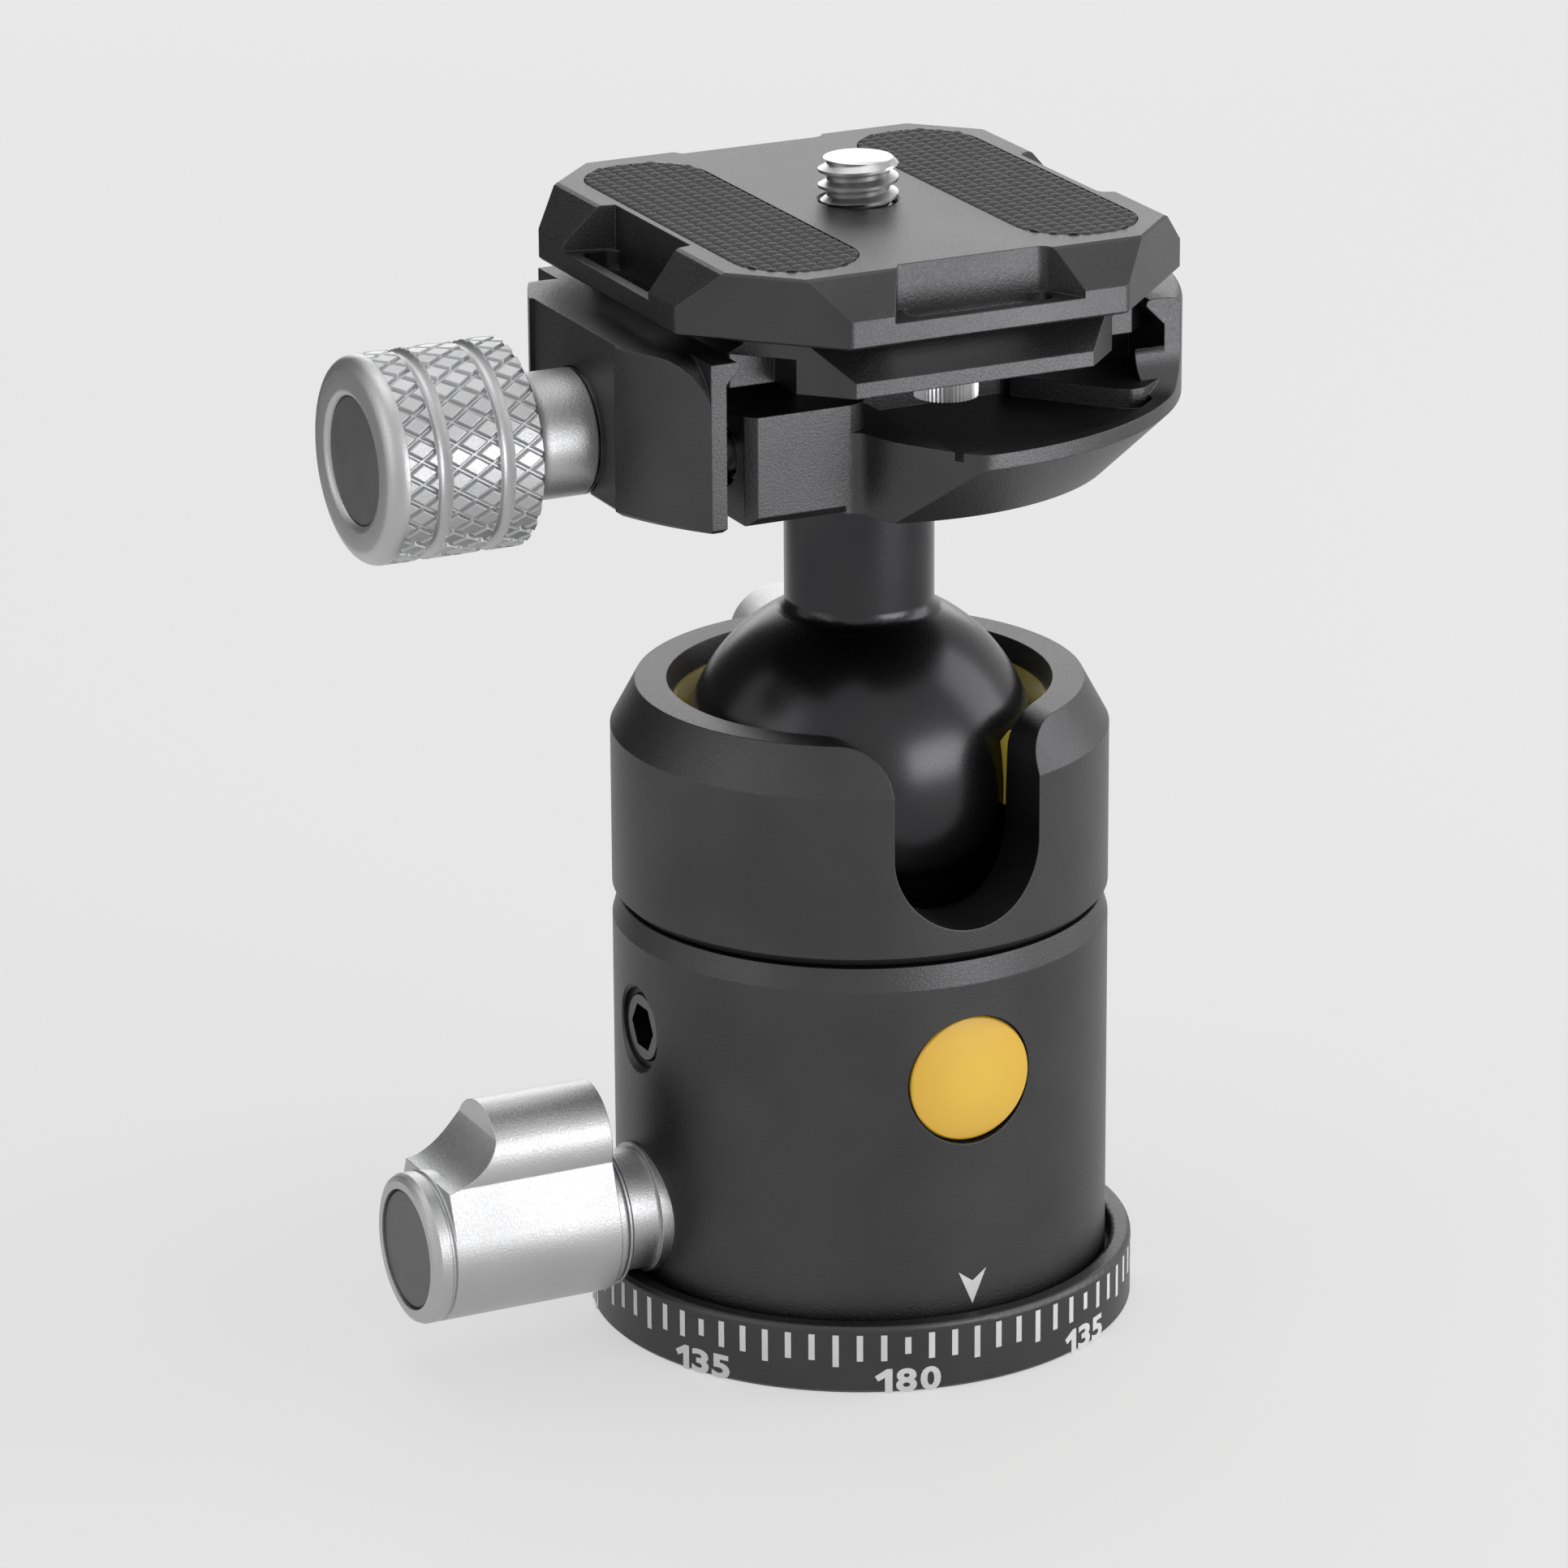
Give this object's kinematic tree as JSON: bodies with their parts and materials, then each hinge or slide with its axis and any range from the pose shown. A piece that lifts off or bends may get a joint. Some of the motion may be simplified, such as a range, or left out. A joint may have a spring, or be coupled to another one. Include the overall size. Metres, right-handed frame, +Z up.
{
  "type": "tripod ball head",
  "caption": "Tripod ball head: round housing with a drop notch and pan dial, ball and stem, screw clamp, and a quick release plate with a camera screw.",
  "frame": {"origin": "centre of the base's bottom face, at the mouth of the tripod thread", "axes": "+Z up along the pan axis and the upright stem; -Y to the front with the drop notch; -X to the pan knob and the clamp knob"},
  "size_m": [0.0689, 0.0663, 0.0955],
  "materials": {
    "black_anodised": "satin black anodised aluminium, fine bead-blasted grain",
    "silver_anodised": "bead-blasted clear anodised aluminium",
    "ball_black": "smooth satin black anodised aluminium ball",
    "cap_grey": "satin dark grey plastic disc",
    "liner_yellow": "yellow acetal",
    "seat_black": "black acetal",
    "badge_amber": "domed clear resin over amber",
    "rubber_black": "moulded rubber with small scales",
    "steel_bright": "bright turned stainless steel",
    "steel_black": "black oxide steel",
    "brass": "turned brass",
    "matte_white": "low friction white washer"
  },
  "bodies": {
    "base": {"base_dial": "black_anodised", "thread_insert": "steel_bright", "pan_spindle": "black_anodised", "base_screws": "steel_bright", "thrust_washer": "matte_white", "retaining_washer": "brass", "retaining_nut": "steel_bright"},
    "housing": {"lower_housing": "black_anodised", "upper_housing": "black_anodised", "seat_liner": "liner_yellow", "lock_bushing": "silver_anodised", "pan_bushing": "silver_anodised", "housing_set_screw": "steel_black", "badge": "badge_amber"},
    "lock_lever": {"lock_shaft": "steel_bright", "lock_knob": "silver_anodised", "lock_knob_cap": "cap_grey", "lock_knob_screw": "steel_bright"},
    "lift": {"pressure_plate": "brass"},
    "seat": {"lower_seat": "seat_black"},
    "ball": {"ball_stem": "ball_black"},
    "clamp": {"clamp_body": "black_anodised", "clamp_mount_screw": "steel_bright", "guide_pins": "steel_bright", "jaw_springs": "steel_bright"},
    "jaw": {"moving_jaw": "black_anodised", "jaw_washer": "steel_bright"},
    "clamp_lever": {"clamp_knob": "silver_anodised", "clamp_knob_cap": "cap_grey", "clamp_screw": "steel_bright"},
    "plate": {"release_plate": "black_anodised", "plate_pad_left": "rubber_black", "plate_pad_right": "rubber_black", "stop_screws": "steel_bright", "screw_clip": "steel_bright"},
    "camera_bolt": {"camera_screw": "steel_bright"},
    "pan_lever": {"pan_knob": "silver_anodised", "pan_knob_cap": "cap_grey", "pan_screw": "steel_bright"},
    "shoe": {"pan_shoe": "brass"}
  },
  "joints": [
    {"name": "pan", "type": "hinge", "parent": "base", "child": "housing", "pos_m": [0, 0, 0], "axis": [0, 0, 1], "continuous": true},
    {"name": "lock_turn", "type": "hinge", "parent": "housing", "child": "lock_lever", "pos_m": [0, 0, 0.026], "axis": [0.2588, 0.9659, 0], "range_deg": [0, 110]},
    {"name": "seat_lift", "type": "slide", "parent": "housing", "child": "lift", "axis": [0, 0, 1], "range_m": [0, 0.0003]},
    {"name": "pan_lock_turn", "type": "hinge", "parent": "housing", "child": "pan_lever", "pos_m": [0, 0, 0.01075], "axis": [-1, 0, 0], "range_deg": [0, 90]},
    {"name": "shoe_slide", "type": "slide", "parent": "housing", "child": "shoe", "axis": [1, 0, 0], "range_m": [0, 0.00025]},
    {"name": "ball_swivel", "type": "hinge", "parent": "housing", "child": "seat", "pos_m": [0, 0, 0.04607], "axis": [0, 0, 1], "range_deg": [0, 360]},
    {"name": "ball_tilt", "type": "hinge", "parent": "seat", "child": "ball", "pos_m": [0, 0, 0.04607], "axis": [-1, 0, 0], "range_deg": [-90, 40]},
    {"name": "ball_spin", "type": "hinge", "parent": "ball", "child": "clamp", "pos_m": [0, 0, 0.04607], "axis": [0, 0, -1], "continuous": true},
    {"name": "jaw_slide", "type": "slide", "parent": "clamp", "child": "jaw", "axis": [-1, 0, 0], "range_m": [0, 0.003]},
    {"name": "clamp_knob_turn", "type": "hinge", "parent": "jaw", "child": "clamp_lever", "pos_m": [0, 0, 0.0765], "axis": [-1, 0, 0], "range_deg": [0, 1080]},
    {"name": "plate_slide", "type": "slide", "parent": "clamp", "child": "plate", "axis": [0, 1, 0], "range_m": [-0.0039, 0.0039]},
    {"name": "camera_screw_turn", "type": "hinge", "parent": "plate", "child": "camera_bolt", "pos_m": [0, 0, 0.084], "axis": [0, 0, 1], "continuous": true}
  ],
  "couplings": [
    {"joint": "lock_turn", "follows": "seat_lift", "rad_per_m": 6399},
    {"joint": "pan_lock_turn", "follows": "shoe_slide", "rad_per_m": 6283},
    {"joint": "clamp_knob_turn", "follows": "jaw_slide", "rad_per_m": 6283}
  ]
}
